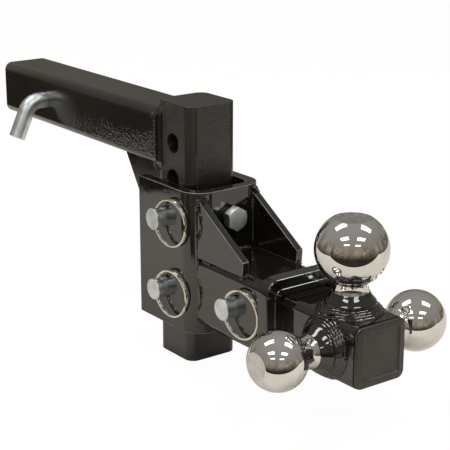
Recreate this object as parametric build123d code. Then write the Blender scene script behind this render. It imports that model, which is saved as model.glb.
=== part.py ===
from build123d import *
import os
from math import asin, cos, degrees, hypot, radians, sin, sqrt

# Adjustable trailer hitch: a solid square shank with a drop post, a channel that is pinned to the post
# at one of several heights, a receiver tube on the channel, and a ball mount with three balls in it.
# Millimetres. The origin is on the shank's axis, at the centre of the hitch-pin hole.
# +X runs from the vehicle towards the balls, +Y to the far side, +Z up.

# --- Shank and drop post -------------------------------------------------------------------------
BAR = 50.8                  # width and height of both square bars and of the ball mount's tube
SHANK_EDGE_R = 7.9
SHANK_TAIL = 80.8           # from the hitch-pin hole to the shank's free end
PIN_TO_POST = 224.0         # from the hitch-pin hole to the post's axis
POST_EDGE_R = 9.1
POST_RISE = 9.2             # the post's top above the shank's top
HOLE_PITCH = 32.2
HOLE_COUNT = 6
HOLE_MARGIN = 35.0          # from the post's ends to the first and last hole
UPPER_HOLE = 2              # counted from 0 at the top: the two holes that hold the channel
LOWER_HOLE = 4

TAIL_GUSSET_T = 9.525
TAIL_GUSSET_LENGTH = 83.6   # along the shank's underside
TAIL_GUSSET_HEIGHT = 127.3  # down the post's back
TAIL_GUSSET_NOSE = 5.0      # the blunt ends of its two sharp corners

WELD_LEG = 4.0              # leg of the weld between shank and post, on each of them
WELD_PROUD = 0.8            # how far its face stands out from the bars' sides

# --- Height channel ------------------------------------------------------------------------------
CHANNEL_T = 9.525
CHANNEL_SIDE_GAP = 3.175    # between the post and each side wall
CHANNEL_WEB_GAP = 14.1      # between the post and the web
CHANNEL_BEHIND = 9.6        # how far the side walls reach past the post's back
CHANNEL_ABOVE_PIN = 30.4
CHANNEL_BELOW_PIN = 32.2
CHANNEL_INNER_R = 9.525      # its bends, inside

# --- Receiver, its collar and the side gussets ---------------------------------------------------
RECEIVER_PLAY = 0.4         # between the ball mount's tube and each wall
RECEIVER_WALL = 5.95
RECEIVER_EDGE_R = 8.0
RECEIVER_LENGTH = 102.0
RECEIVER_LEDGE = 7.6        # from the channel's lower edge up to the receiver's underside
COLLAR_T = 8.25
COLLAR_WIDTH = 12.7
COLLAR_EDGE_R = 13.0
MOUTH_CHAMFER = 1.0
SIDE_GUSSET_T = 6.35
SIDE_GUSSET_REACH = 60.0    # along the receiver
SIDE_GUSSET_TOP = 48.0      # its height above the receiver at the channel
SIDE_GUSSET_END = 11.2      # its height above the receiver at the outer end
SIDE_GUSSET_SEAT = 1.0      # how far it sinks beside the receiver's flat top, on to the round edge

# --- Set bolt ------------------------------------------------------------------------------------
BOLT_D = 12.7
BOLT_PLAY = 0.05            # radial, standing in for the thread
BOLT_HEX = 19.05            # across flats
BOLT_HEAD = 8.0
BOLT_STAND_OFF = 4.0        # between the head and the web, when its tip bears on the post
BOLT_BELOW_TOP = 24.5       # below the channel's upper edge
BOLT_TIP_GAP = 0.2          # between its tip and the post

# --- Ball mount ----------------------------------------------------------------------------------
MOUNT_WALL = 6.35
MOUNT_EDGE_R = 6.8
MOUNT_INNER_END = 13.0      # from the channel's web to the tube's inner end
MOUNT_PIN_X = 43.4          # from the channel's web to the receiver pin
BALL_X = 156.2              # from the channel's web to the balls' plane
MOUNT_PAST_BALLS = 33.0     # from the balls' plane to the tube's outer end
PLUG_FLANGE = 3.0
PLUG_INSET = 0.3            # the flange is this much smaller than the tube, all round
PLUG_BORDER_INSET = 3.6
PLUG_BORDER_WIDTH = 2.4
PLUG_BORDER_HEIGHT = 0.8
PLUG_DEPTH = 15.0
PLUG_WALL = 2.2
PLUG_PLAY = 0.1

# Each ball: diameter, flat's diameter, neck's diameter, centre above the tube's face.
BALLS = {
    "top": (58.74, 31.0, 29.6, 49.3),
    "near": (47.63, 23.0, 28.0, 46.5),
    "far": (50.8, 25.0, 28.8, 45.7),
}
NECK_WAIST = 0.7            # how much the neck narrows at its middle
SKIRT_TOP = 15.2            # the weld skirt's top, above the tube's face
SKIRT_SHOULDER = 4.3        # where the skirt is widest
SKIRT_SHOULDER_R = 20.6
SKIRT_FOOT_GAP = 0.4        # between the skirt's foot and the tube's side

# --- Straight ring pins --------------------------------------------------------------------------
PIN_D = 15.875
PIN_PLAY = 0.7925           # radial, in every hole that a ring pin passes through
PIN_HEAD_STEP = 3.175       # how much wider the head is than the pin
PIN_HEAD = 10.1             # how far the head stands out of the face
PIN_PAST = 14.0             # how far the body reaches past the far face
PIN_CHAMFER = 1.5
HEAD_CHAMFER = 0.6
RING_OD = 43.0
RING_RADIAL = 2.0           # the split ring's section, along its radius
RING_WIDTH = 2.8            # and along its axis, two coils side by side
RING_PLAY = 0.215           # between the ring and the sides of its hole
RING_HOLE_OUT = 5.8         # the ring hole's centre, from the face
RING_FACE_GAP = 0.2         # between the resting ring and the face
DETENT_BALL_D = 6.35
DETENT_BORE_PLAY = 0.1
DETENT_PROUD = 0.6          # how far the detent ball stands out of the pin
DETENT_PAST = 5.0           # its centre past the far face
DETENT_DEPTH = 13.4
SPRING_WIRE = 0.8
SPRING_OD = 5.6
SPRING_TURNS = 4.5
SPRING_END_GAP = 0.05

# --- Bent hitch pin and its clip -----------------------------------------------------------------
HITCH_PIN_D = 15.875
HITCH_PIN_PLAY = 0.4        # radial, in the shank's hole
HITCH_PIN_OUT = 6.2         # straight length between the shank and the bend
HITCH_PIN_BEND_R = 16.0
HITCH_PIN_BEND = 65.0       # degrees
HITCH_PIN_ARM = 27.5
HITCH_PIN_PAST = 32.0       # how far it reaches past the far side of the shank
CLIP_WIRE = 3.2
CLIP_HOLE_PLAY = 0.35       # radial
CLIP_FROM_END = 9.0
CLIP_LEG_GAP = 0.3          # between the outer leg and the pin
CLIP_TAIL = 4.5             # how far the legs reach past the pin
CLIP_LEG = 14.0             # from the pin to the eye
CLIP_EYE_R = 9.0
CLIP_FLARE = 4.0
CLIP_BEND_R = 4.0

# --- Worked out ----------------------------------------------------------------------------------
half_bar = BAR / 2
pin_hole_d = PIN_D + 2 * PIN_PLAY
pin_head_d = PIN_D + PIN_HEAD_STEP
skirt_foot_r = half_bar - SKIRT_FOOT_GAP
post_top = half_bar + POST_RISE
post_length = 2 * HOLE_MARGIN + (HOLE_COUNT - 1) * HOLE_PITCH
post_bottom = post_top - post_length
post_back = PIN_TO_POST - half_bar
post_front = PIN_TO_POST + half_bar


def hole_z(index):
    """Height of one of the post's cross holes, counted from 0 at the top."""
    return post_top - HOLE_MARGIN - index * HOLE_PITCH


upper_z = hole_z(UPPER_HOLE)
lower_z = hole_z(LOWER_HOLE)
channel_top = upper_z + CHANNEL_ABOVE_PIN
channel_bottom = lower_z - CHANNEL_BELOW_PIN
channel_half = half_bar + CHANNEL_SIDE_GAP + CHANNEL_T
web_x = post_front + CHANNEL_WEB_GAP + CHANNEL_T
channel_outer_r = CHANNEL_INNER_R + CHANNEL_T
receiver_half = half_bar + RECEIVER_PLAY + RECEIVER_WALL
receiver_z = channel_bottom + RECEIVER_LEDGE + receiver_half
receiver_top = receiver_z + receiver_half
receiver_end = web_x + RECEIVER_LENGTH
ball_x = web_x + BALL_X
mount_end = ball_x + MOUNT_PAST_BALLS
mount_pin_x = web_x + MOUNT_PIN_X
bolt_z = channel_top - BOLT_BELOW_TOP


# --- Helpers -------------------------------------------------------------------------------------
def bar_z(size, edge_r, x, low, high):
    """Square bar standing along Z, with round long edges."""
    return extrude(Pos(x, 0, low) * RectangleRounded(size, size, edge_r), amount=high - low)


def bar_x(size, edge_r, z, low, high):
    """Square bar lying along X, with round long edges."""
    end = Plane(origin=(low, 0, z), x_dir=(0, 1, 0), z_dir=(1, 0, 0))
    return extrude(end * RectangleRounded(size, size, edge_r), amount=high - low)


def rod_y(diameter, x, z, low, high):
    """Round rod or hole along Y."""
    return Pos(x, (low + high) / 2, z) * Rot(90, 0, 0) * Cylinder(diameter / 2, high - low)


def rod_x(diameter, y, z, low, high):
    """Round rod or hole along X."""
    return Pos((low + high) / 2, y, z) * Rot(0, 90, 0) * Cylinder(diameter / 2, high - low)


def plate_y(outline, low, high):
    """Flat plate from an outline of (x, z) points, between two values of Y."""
    face = Plane(origin=(0, high, 0), x_dir=(1, 0, 0), z_dir=(0, -1, 0))
    return extrude(face * make_face(Polyline(*outline, close=True)), amount=high - low)


def save(name, solid):
    """Write one named sub-part."""
    export_step(solid, f"parts/{name}.step")


# --- Shank weldment ------------------------------------------------------------------------------
def make_drop_post():
    post = bar_z(BAR, POST_EDGE_R, PIN_TO_POST, post_bottom, post_top)
    for index in range(HOLE_COUNT):
        post -= rod_y(pin_hole_d, PIN_TO_POST, hole_z(index), -BAR, BAR)
    return post


def make_shank():
    shank = bar_x(BAR, SHANK_EDGE_R, 0, -SHANK_TAIL, post_back)
    hole_d = HITCH_PIN_D + 2 * HITCH_PIN_PLAY
    return shank - rod_y(hole_d, 0, 0, -BAR, BAR)


def make_tail_gusset():
    tip_x = post_back - TAIL_GUSSET_LENGTH
    tip_z = -half_bar - TAIL_GUSSET_HEIGHT
    outline = [
        (post_back, -half_bar),
        (tip_x, -half_bar),
        (tip_x, -half_bar - TAIL_GUSSET_NOSE),
        (post_back - TAIL_GUSSET_NOSE, tip_z),
        (post_back, tip_z),
    ]
    return plate_y(outline, -TAIL_GUSSET_T / 2, TAIL_GUSSET_T / 2)


def make_shank_weld(post, shank, gusset):
    """Fillet round the shank's end, and the fill between it and the post's round edges."""
    start = Plane(origin=(post_back - WELD_LEG, 0, 0), x_dir=(0, 1, 0), z_dir=(1, 0, 0))
    foot = Plane(origin=(post_back, 0, 0), x_dir=(0, 1, 0), z_dir=(1, 0, 0))
    wide = BAR + 2 * WELD_PROUD
    small = start * RectangleRounded(wide, BAR + 0.4, SHANK_EDGE_R)
    large = foot * RectangleRounded(wide, BAR + 2 * WELD_LEG, SHANK_EDGE_R + WELD_PROUD)
    fillet_band = loft([small, large])
    fill = extrude(foot * RectangleRounded(wide, BAR + 2 * WELD_LEG, SHANK_EDGE_R + WELD_PROUD), amount=POST_EDGE_R)
    return fillet_band + fill - post - shank - gusset


# --- Height channel and receiver -----------------------------------------------------------------
def channel_outline():
    """Outer outline of the channel in plan, as a closed face, as if its open side were filled."""
    back = post_back - CHANNEL_BEHIND
    outline = Polyline(
        (back, -channel_half), (web_x, -channel_half), (web_x, channel_half), (back, channel_half), close=True
    )
    face = make_face(outline)
    return fillet(face.vertices().sort_by(Axis.X)[-2:], channel_outer_r)


def channel_surface_x(y):
    """Where the channel's outside is along X, at a distance y from its middle plane."""
    past = max(0, y - (channel_half - channel_outer_r))
    return web_x - channel_outer_r + sqrt(channel_outer_r ** 2 - past ** 2)


def make_channel_block():
    """The channel's outer shape, filled solid: what welded pieces are cut to fit against."""
    return extrude(Pos(0, 0, channel_bottom) * channel_outline(), amount=channel_top - channel_bottom)


def make_height_channel():
    block = make_channel_block()
    inner_half = channel_half - CHANNEL_T
    inner_front = web_x - CHANNEL_T
    back = post_back - CHANNEL_BEHIND - CHANNEL_T
    inside = make_face(
        Polyline((back, -inner_half), (inner_front, -inner_half), (inner_front, inner_half), (back, inner_half),
                 close=True)
    )
    inside = fillet(inside.vertices().sort_by(Axis.X)[-2:], CHANNEL_INNER_R)
    channel = block - extrude(Pos(0, 0, channel_bottom) * inside, amount=channel_top - channel_bottom)
    for z in (upper_z, lower_z):
        channel -= rod_y(pin_hole_d, PIN_TO_POST, z, -2 * channel_half, 2 * channel_half)
    channel -= rod_x(BOLT_D + 2 * BOLT_PLAY, 0, bolt_z, post_front, web_x + CHANNEL_T)
    return channel


def weld_start_x():
    """Just inside the channel's outside: what is welded to it starts here and is cut to fit."""
    return channel_surface_x(receiver_half) - MOUTH_CHAMFER


def make_receiver_tube(channel_block):
    size = 2 * receiver_half
    bore = BAR + 2 * RECEIVER_PLAY
    tube = bar_x(size, RECEIVER_EDGE_R, receiver_z, weld_start_x(), receiver_end)
    tube = chamfer(tube.faces().sort_by(Axis.X)[-1].edges(), MOUTH_CHAMFER)
    tube -= bar_x(bore, RECEIVER_EDGE_R - RECEIVER_WALL, receiver_z, post_front, receiver_end + 1)
    tube -= rod_y(pin_hole_d, mount_pin_x, receiver_z, -size, size)
    return tube - channel_block


def make_receiver_collar():
    size = 2 * (receiver_half + COLLAR_T)
    low = receiver_end - COLLAR_WIDTH
    collar = bar_x(size, COLLAR_EDGE_R, receiver_z, low, receiver_end)
    ends = collar.faces().sort_by(Axis.X)
    collar = chamfer(ends[0].edges() + ends[-1].edges(), MOUTH_CHAMFER)
    bore = bar_x(2 * receiver_half, RECEIVER_EDGE_R, receiver_z, low - 1, receiver_end + 1)
    return collar - bore


def make_side_gusset(side, channel_block):
    """side is -1 for the near plate and +1 for the far one."""
    start = weld_start_x()
    slope = (SIDE_GUSSET_TOP - SIDE_GUSSET_END) / SIDE_GUSSET_REACH
    foot_z = receiver_top - SIDE_GUSSET_SEAT
    outline = [
        (start, foot_z),
        (start, receiver_top + SIDE_GUSSET_TOP + slope * (web_x - start)),
        (web_x + SIDE_GUSSET_REACH, receiver_top + SIDE_GUSSET_END),
        (web_x + SIDE_GUSSET_REACH - MOUTH_CHAMFER, foot_z),
    ]
    outer = side * receiver_half
    inner = side * (receiver_half - SIDE_GUSSET_T)
    plate = plate_y(outline, min(outer, inner), max(outer, inner))
    receiver_block = bar_x(2 * receiver_half, RECEIVER_EDGE_R, receiver_z, start, receiver_end)
    return plate - channel_block - receiver_block


def make_set_bolt():
    """Hexagon bolt whose tip bears on the post; a corner of the head points up."""
    seat_x = web_x + BOLT_STAND_OFF
    seat = Plane(origin=(seat_x, 0, bolt_z), x_dir=(0, 0, 1), z_dir=(1, 0, 0))
    corner_r = BOLT_HEX / 2 / cos(radians(30))
    head = extrude(seat * RegularPolygon(corner_r, 6), amount=BOLT_HEAD)
    crown = seat * Pos(0, 0, BOLT_HEAD / 2) * Cylinder(corner_r, BOLT_HEAD)
    crown = chamfer(crown.edges().sort_by(Axis.X)[-1], 1.2, 2.4)
    tip_x = post_front + BOLT_TIP_GAP
    body = rod_x(BOLT_D, 0, bolt_z, tip_x, seat_x)
    body = chamfer(body.edges().sort_by(Axis.X)[0], 1.2)
    return (head & crown) + body


# --- Ball mount ----------------------------------------------------------------------------------
def make_ball_mount_tube():
    low = web_x + MOUNT_INNER_END
    tube = bar_x(BAR, MOUNT_EDGE_R, receiver_z, low, mount_end)
    tube = chamfer(tube.faces().sort_by(Axis.X)[0].edges(), MOUTH_CHAMFER)
    tube -= bar_x(BAR - 2 * MOUNT_WALL, MOUNT_EDGE_R / 2, receiver_z, low - 1, mount_end + 1)
    return tube - rod_y(pin_hole_d, mount_pin_x, receiver_z, -BAR, BAR)


def make_end_plug():
    """Flange with a raised border over the tube's end, and a hollow body inside the tube."""
    flange_size = BAR - 2 * PLUG_INSET
    flange_r = MOUNT_EDGE_R - PLUG_INSET
    face_x = mount_end + PLUG_FLANGE
    flange = bar_x(flange_size, flange_r, receiver_z, mount_end, face_x)
    flange = fillet(flange.faces().sort_by(Axis.X)[-1].edges(), 0.8)
    outer = flange_size - 2 * PLUG_BORDER_INSET
    inner = outer - 2 * PLUG_BORDER_WIDTH
    border_end = face_x + PLUG_BORDER_HEIGHT
    border = bar_x(outer, flange_r, receiver_z, mount_end, border_end)
    border -= bar_x(inner, flange_r - PLUG_BORDER_WIDTH, receiver_z, face_x, border_end)
    body_size = BAR - 2 * MOUNT_WALL - 2 * PLUG_PLAY
    body = bar_x(body_size, MOUNT_EDGE_R / 2, receiver_z, mount_end - PLUG_DEPTH, mount_end)
    hollow = bar_x(body_size - 2 * PLUG_WALL, 1.2, receiver_z, mount_end - PLUG_DEPTH, mount_end)
    return flange + border + (body - hollow)


def ball_place(side):
    """Location whose +Z points out of the tube's face that carries this ball."""
    turns = {"top": Rot(0, 0, 0), "near": Rot(90, 0, 0), "far": Rot(-90, 0, 0)}
    return Pos(ball_x, 0, receiver_z) * turns[side] * Pos(0, 0, half_bar)


def make_hitch_ball(side):
    """Ball with a flat on its crown, on a neck that stands on the tube."""
    ball_d, flat_d, neck_d, centre = BALLS[side]
    radius = ball_d / 2
    neck_r = neck_d / 2
    flat_z = centre + sqrt(radius ** 2 - (flat_d / 2) ** 2)
    join_z = centre - sqrt(radius ** 2 - neck_r ** 2)
    waist_z = (join_z + SKIRT_TOP) / 2
    outline = [
        Line((0, 0), (neck_r, 0)),
        Line((neck_r, 0), (neck_r, SKIRT_TOP)),
        ThreePointArc((neck_r, SKIRT_TOP), (neck_r - NECK_WAIST, waist_z), (neck_r, join_z)),
        ThreePointArc((neck_r, join_z), (radius, centre), (flat_d / 2, flat_z)),
        Line((flat_d / 2, flat_z), (0, flat_z)),
        Line((0, flat_z), (0, 0)),
    ]
    profile = make_face(Plane.XZ * Curve(outline))
    return ball_place(side) * revolve(profile, Axis.Z)


def make_ball_weld(side, tube_block):
    """Skirt of weld round the neck's foot, spreading on to the tube."""
    neck_r = BALLS[side][2] / 2
    below = -MOUNT_EDGE_R
    slope_mid = ((neck_r + SKIRT_SHOULDER_R) / 2 - 0.8, (SKIRT_TOP + SKIRT_SHOULDER) / 2 - 0.8)
    outline = [
        ThreePointArc((neck_r, SKIRT_TOP), slope_mid, (SKIRT_SHOULDER_R, SKIRT_SHOULDER)),
        Line((SKIRT_SHOULDER_R, SKIRT_SHOULDER), (skirt_foot_r, 0)),
        Line((skirt_foot_r, 0), (skirt_foot_r, below)),
        Line((skirt_foot_r, below), (neck_r, below)),
        Line((neck_r, below), (neck_r, SKIRT_TOP)),
    ]
    profile = make_face(Plane.XZ * Curve(outline))
    return ball_place(side) * revolve(profile, Axis.Z) - tube_block


# --- Ring pins -----------------------------------------------------------------------------------
def ring_pin_layout(half_width):
    """The places along Y that a ring pin's pieces share, from the width of what it passes through."""
    return {
        "face": -half_width,
        "tip": half_width + PIN_PAST,
        "ring_hole": -half_width - RING_HOLE_OUT,
        "detent": half_width + DETENT_PAST,
    }


def detent_place(x, z, place):
    """Location of the detent's bore: its origin is on the pin's axis, +Z out of the pin."""
    return Pos(x, place["detent"], z)


def ring_sag():
    """How far the ring's centre line curves away within the head."""
    mean_r = (RING_OD - RING_RADIAL) / 2
    return mean_r - sqrt(mean_r ** 2 - (pin_head_d / 2) ** 2)


def ring_hole_d():
    """The hole takes the ring's section and the curve of its line within the head."""
    return hypot(ring_sag() + RING_RADIAL, RING_WIDTH) + 2 * RING_PLAY


def make_ring_pin(x, z, half_width):
    place = ring_pin_layout(half_width)
    body = rod_y(PIN_D, x, z, place["face"], place["tip"])
    body = chamfer(body.edges().sort_by(Axis.Y)[-1], PIN_CHAMFER)
    head = rod_y(pin_head_d, x, z, place["face"] - PIN_HEAD, place["face"])
    head = chamfer(head.edges().sort_by(Axis.Y)[0], HEAD_CHAMFER)
    pin = body + head - Pos(x, place["ring_hole"], z) * Cylinder(ring_hole_d() / 2, 2 * pin_head_d)
    bore_low = PIN_D / 2 - DETENT_DEPTH
    bore = Pos(0, 0, (bore_low + PIN_D) / 2) * Cylinder(DETENT_BALL_D / 2 + DETENT_BORE_PLAY, PIN_D - bore_low)
    return pin - detent_place(x, z, place) * bore


def ring_rest_angle():
    """Turn about Z, in degrees, at which the ring's far side rests on the face."""
    reach = RING_OD - RING_RADIAL - ring_sag() / 2
    free = RING_HOLE_OUT - RING_FACE_GAP
    # Solve reach * sin(a) + (RING_WIDTH / 2) * cos(a) = free for the angle a.
    length = hypot(reach + RING_RADIAL / 2, RING_WIDTH / 2)
    lean = asin(RING_WIDTH / 2 / length)
    return degrees(asin(free / length) - lean)


def make_pull_ring(x, z, half_width):
    """Split ring through the head's cross hole: two coils side by side, with a groove between."""
    place = ring_pin_layout(half_width)
    mean_r = (RING_OD - RING_RADIAL) / 2
    coil_w = RING_WIDTH / 2 + 0.05
    corner = 0.45
    profile = Sketch()
    for side in (-1, 1):
        y = side * (RING_WIDTH - coil_w) / 2
        profile += Plane.XY * Pos(mean_r, y) * RectangleRounded(RING_RADIAL, coil_w, corner)
    ring = revolve(profile, Axis.Y)
    # The ring's own axis is Y here; it is moved so that it threads the head's hole, then turned.
    threaded = Pos(mean_r - ring_sag() / 2, 0, 0) * ring
    return Pos(x, place["ring_hole"], z) * Rot(0, 0, ring_rest_angle()) * threaded


def make_detent_ball(x, z, half_width):
    place = ring_pin_layout(half_width)
    centre = PIN_D / 2 + DETENT_PROUD - DETENT_BALL_D / 2
    return detent_place(x, z, place) * Pos(0, 0, centre) * Sphere(DETENT_BALL_D / 2)


def make_detent_spring(x, z, half_width):
    """Coil spring between the bore's floor and the ball."""
    place = ring_pin_layout(half_width)
    low = PIN_D / 2 - DETENT_DEPTH + SPRING_WIRE / 2 + SPRING_END_GAP
    coil_r = (SPRING_OD - SPRING_WIRE) / 2
    ball_r = DETENT_BALL_D / 2
    ball_centre = PIN_D / 2 + DETENT_PROUD - ball_r
    # The top coil stops under the ball's round: the wire's centre is clear of it by the end gap.
    away = sqrt((ball_r + SPRING_WIRE / 2 + SPRING_END_GAP) ** 2 - coil_r ** 2)
    high = ball_centre - away
    height = high - low
    path = Helix(pitch=height / SPRING_TURNS, height=height, radius=coil_r)
    section = Plane(origin=path @ 0, z_dir=path % 0) * Circle(SPRING_WIRE / 2)
    return detent_place(x, z, place) * Pos(0, 0, low) * sweep(section, path=path)


# --- Bent hitch pin and clip ---------------------------------------------------------------------
def hitch_pin_tip():
    return half_bar + HITCH_PIN_PAST


def clip_y():
    return hitch_pin_tip() - CLIP_FROM_END


def make_hitch_pin():
    """Straight pin through the shank, bent down and outwards into a short arm."""
    bend_y = -half_bar - HITCH_PIN_OUT
    angle = radians(HITCH_PIN_BEND)
    after_y = bend_y - HITCH_PIN_BEND_R * sin(angle)
    after_z = -HITCH_PIN_BEND_R * (1 - cos(angle))
    mid_y = bend_y - HITCH_PIN_BEND_R * sin(angle / 2)
    mid_z = -HITCH_PIN_BEND_R * (1 - cos(angle / 2))
    arm_y = after_y - HITCH_PIN_ARM * cos(angle)
    arm_z = after_z - HITCH_PIN_ARM * sin(angle)
    path = Wire([
        Edge.make_line((0, hitch_pin_tip(), 0), (0, bend_y, 0)),
        Edge.make_three_point_arc((0, bend_y, 0), (0, mid_y, mid_z), (0, after_y, after_z)),
        Edge.make_line((0, after_y, after_z), (0, arm_y, arm_z)),
    ])
    section = Plane(origin=(0, hitch_pin_tip(), 0), z_dir=(0, -1, 0)) * Circle(HITCH_PIN_D / 2)
    pin = sweep(section, path=path)
    pin = chamfer(pin.edges().sort_by(Axis.Y)[-1], PIN_CHAMFER)
    arm_end = pin.edges().filter_by(GeomType.CIRCLE).sort_by(Axis.Z)[0]
    pin = chamfer(arm_end, 0.8, 0.8)
    return pin - rod_x(CLIP_WIRE + 2 * CLIP_HOLE_PLAY, clip_y(), 0, -BAR, BAR)


def make_hitch_pin_clip():
    """Hairpin: one leg through the pin, one leg under it, and a round eye between them."""
    pin_r = HITCH_PIN_D / 2
    under = -(pin_r + CLIP_LEG_GAP + CLIP_WIRE / 2)
    tail = -pin_r - CLIP_TAIL
    leg_end = pin_r + CLIP_LEG
    eye_far = leg_end + 2 * CLIP_EYE_R
    low = under / 2 - CLIP_EYE_R
    high = under / 2 + CLIP_EYE_R
    outline = [
        (tail - CLIP_TAIL, under - CLIP_FLARE),
        (tail, under),
        (leg_end - CLIP_BEND_R, under),
        (leg_end + CLIP_BEND_R, low),
        (eye_far, low),
        (eye_far, high),
        (leg_end + CLIP_BEND_R, high),
        (leg_end - CLIP_BEND_R, 0),
        (tail, 0),
    ]
    points = [(x, clip_y(), z) for x, z in outline]
    radii = [CLIP_BEND_R] * 3 + [0.9 * CLIP_EYE_R] * 2 + [CLIP_BEND_R] * 2
    path = FilletPolyline(*points, radius=radii)
    section = Plane(origin=path @ 0, z_dir=path % 0) * Circle(CLIP_WIRE / 2)
    return sweep(section, path=path)


# --- Build ---------------------------------------------------------------------------------------
def main():
    os.makedirs("parts", exist_ok=True)

    post = make_drop_post()
    shank = make_shank()
    gusset = make_tail_gusset()
    save("drop_post", post)
    save("shank", shank)
    save("tail_gusset", gusset)
    save("shank_weld", make_shank_weld(post, shank, gusset))

    channel_block = make_channel_block()
    save("height_channel", make_height_channel())
    save("receiver_tube", make_receiver_tube(channel_block))
    save("receiver_collar", make_receiver_collar())
    save("side_gusset_near", make_side_gusset(-1, channel_block))
    save("side_gusset_far", make_side_gusset(1, channel_block))
    save("set_bolt", make_set_bolt())

    tube_block = bar_x(BAR, MOUNT_EDGE_R, receiver_z, web_x, mount_end)
    save("ball_mount_tube", make_ball_mount_tube())
    save("end_plug", make_end_plug())
    top_weld = make_ball_weld("top", tube_block)
    save("ball_weld_top", top_weld)
    save("ball_weld_near", make_ball_weld("near", tube_block) - top_weld)
    save("ball_weld_far", make_ball_weld("far", tube_block) - top_weld)
    for side in BALLS:
        save(f"hitch_ball_{side}", make_hitch_ball(side))

    ring_pins = {
        "upper": (PIN_TO_POST, upper_z, channel_half),
        "lower": (PIN_TO_POST, lower_z, channel_half),
        "receiver": (mount_pin_x, receiver_z, receiver_half),
    }
    for name, where in ring_pins.items():
        save(f"ring_pin_{name}", make_ring_pin(*where))
        save(f"pull_ring_{name}", make_pull_ring(*where))
        save(f"detent_ball_{name}", make_detent_ball(*where))
        save(f"detent_spring_{name}", make_detent_spring(*where))

    save("hitch_pin", make_hitch_pin())
    save("hitch_pin_clip", make_hitch_pin_clip())


main()
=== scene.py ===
import math

import bmesh
import bpy
from mathutils import Matrix, Vector, noise


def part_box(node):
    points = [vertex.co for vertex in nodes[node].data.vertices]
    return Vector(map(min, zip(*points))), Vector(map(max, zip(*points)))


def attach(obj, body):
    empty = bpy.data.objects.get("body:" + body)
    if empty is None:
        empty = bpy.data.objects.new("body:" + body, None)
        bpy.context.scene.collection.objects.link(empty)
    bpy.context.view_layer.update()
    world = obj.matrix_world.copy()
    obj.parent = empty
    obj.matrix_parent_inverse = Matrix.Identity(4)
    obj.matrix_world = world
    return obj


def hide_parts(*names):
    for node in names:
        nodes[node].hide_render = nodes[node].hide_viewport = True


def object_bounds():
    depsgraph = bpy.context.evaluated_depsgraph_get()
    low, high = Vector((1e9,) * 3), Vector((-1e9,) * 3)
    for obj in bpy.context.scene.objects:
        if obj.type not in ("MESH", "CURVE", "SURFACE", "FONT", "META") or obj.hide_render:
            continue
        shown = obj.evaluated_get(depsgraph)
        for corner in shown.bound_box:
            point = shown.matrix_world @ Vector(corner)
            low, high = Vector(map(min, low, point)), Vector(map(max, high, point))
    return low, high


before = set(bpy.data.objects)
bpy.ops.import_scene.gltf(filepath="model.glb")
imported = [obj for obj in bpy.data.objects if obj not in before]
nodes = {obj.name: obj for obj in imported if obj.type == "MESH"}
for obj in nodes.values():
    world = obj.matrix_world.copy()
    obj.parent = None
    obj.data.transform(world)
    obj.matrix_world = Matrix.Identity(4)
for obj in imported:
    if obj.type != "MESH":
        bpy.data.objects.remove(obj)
cad_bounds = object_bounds()
scene = bpy.context.scene
MM = 0.001

# --- Places that everything else is measured from --------------------------------------------------
object_low, object_high = cad_bounds
post_low, post_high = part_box("drop_post")
shank_low, shank_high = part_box("shank")
channel_low, channel_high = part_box("height_channel")
receiver_low, receiver_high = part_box("receiver_tube")
collar_low, collar_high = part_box("receiver_collar")
mount_low, mount_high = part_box("ball_mount_tube")
plug_low, plug_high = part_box("end_plug")
bolt_low, bolt_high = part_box("set_bolt")
tail_low, tail_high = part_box("tail_gusset")
side_low, side_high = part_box("side_gusset_near")
web_x = channel_high.x
mount_mid = (mount_low + mount_high) / 2
mount_half = (mount_high.z - mount_low.z) / 2
TUBE_EDGE_R = 6.8 * MM
CHANNEL_BEND_R = 19.05 * MM


def channel_face_x(y):
    """Where the channel's outside is along X, at a distance y from its middle plane."""
    past = max(0.0, abs(y) - (channel_high.y - CHANNEL_BEND_R))
    return web_x - CHANNEL_BEND_R + math.sqrt(CHANNEL_BEND_R ** 2 - past ** 2)



# --- Camera ----------------------------------------------------------------------------------------
CAMERA_AZIMUTH = math.radians(53.52)
CAMERA_ELEVATION = math.radians(17.10)
CAMERA_DISTANCE = 1.1729
CAMERA_TARGET = (post_low + post_high) / 2 + Vector((38.7, 0, 12.1)) * MM


def make_camera():
    data = bpy.data.cameras.new("main_camera")
    data.sensor_width = 36
    data.lens = 108.36
    data.shift_x = 0.00465
    data.shift_y = -0.00136
    data.clip_start = 0.01
    data.clip_end = 100
    camera = bpy.data.objects.new("main_camera", data)
    scene.collection.objects.link(camera)
    level = math.cos(CAMERA_ELEVATION)
    back = Vector((math.sin(CAMERA_AZIMUTH) * level,
                   -math.cos(CAMERA_AZIMUTH) * level,
                   math.sin(CAMERA_ELEVATION)))
    right = Vector((math.cos(CAMERA_AZIMUTH), math.sin(CAMERA_AZIMUTH), 0))
    turn = Matrix((right, back.cross(right), back)).transposed().to_4x4()
    camera.matrix_world = Matrix.Translation(CAMERA_TARGET + back * CAMERA_DISTANCE) @ turn
    scene.camera = camera


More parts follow.
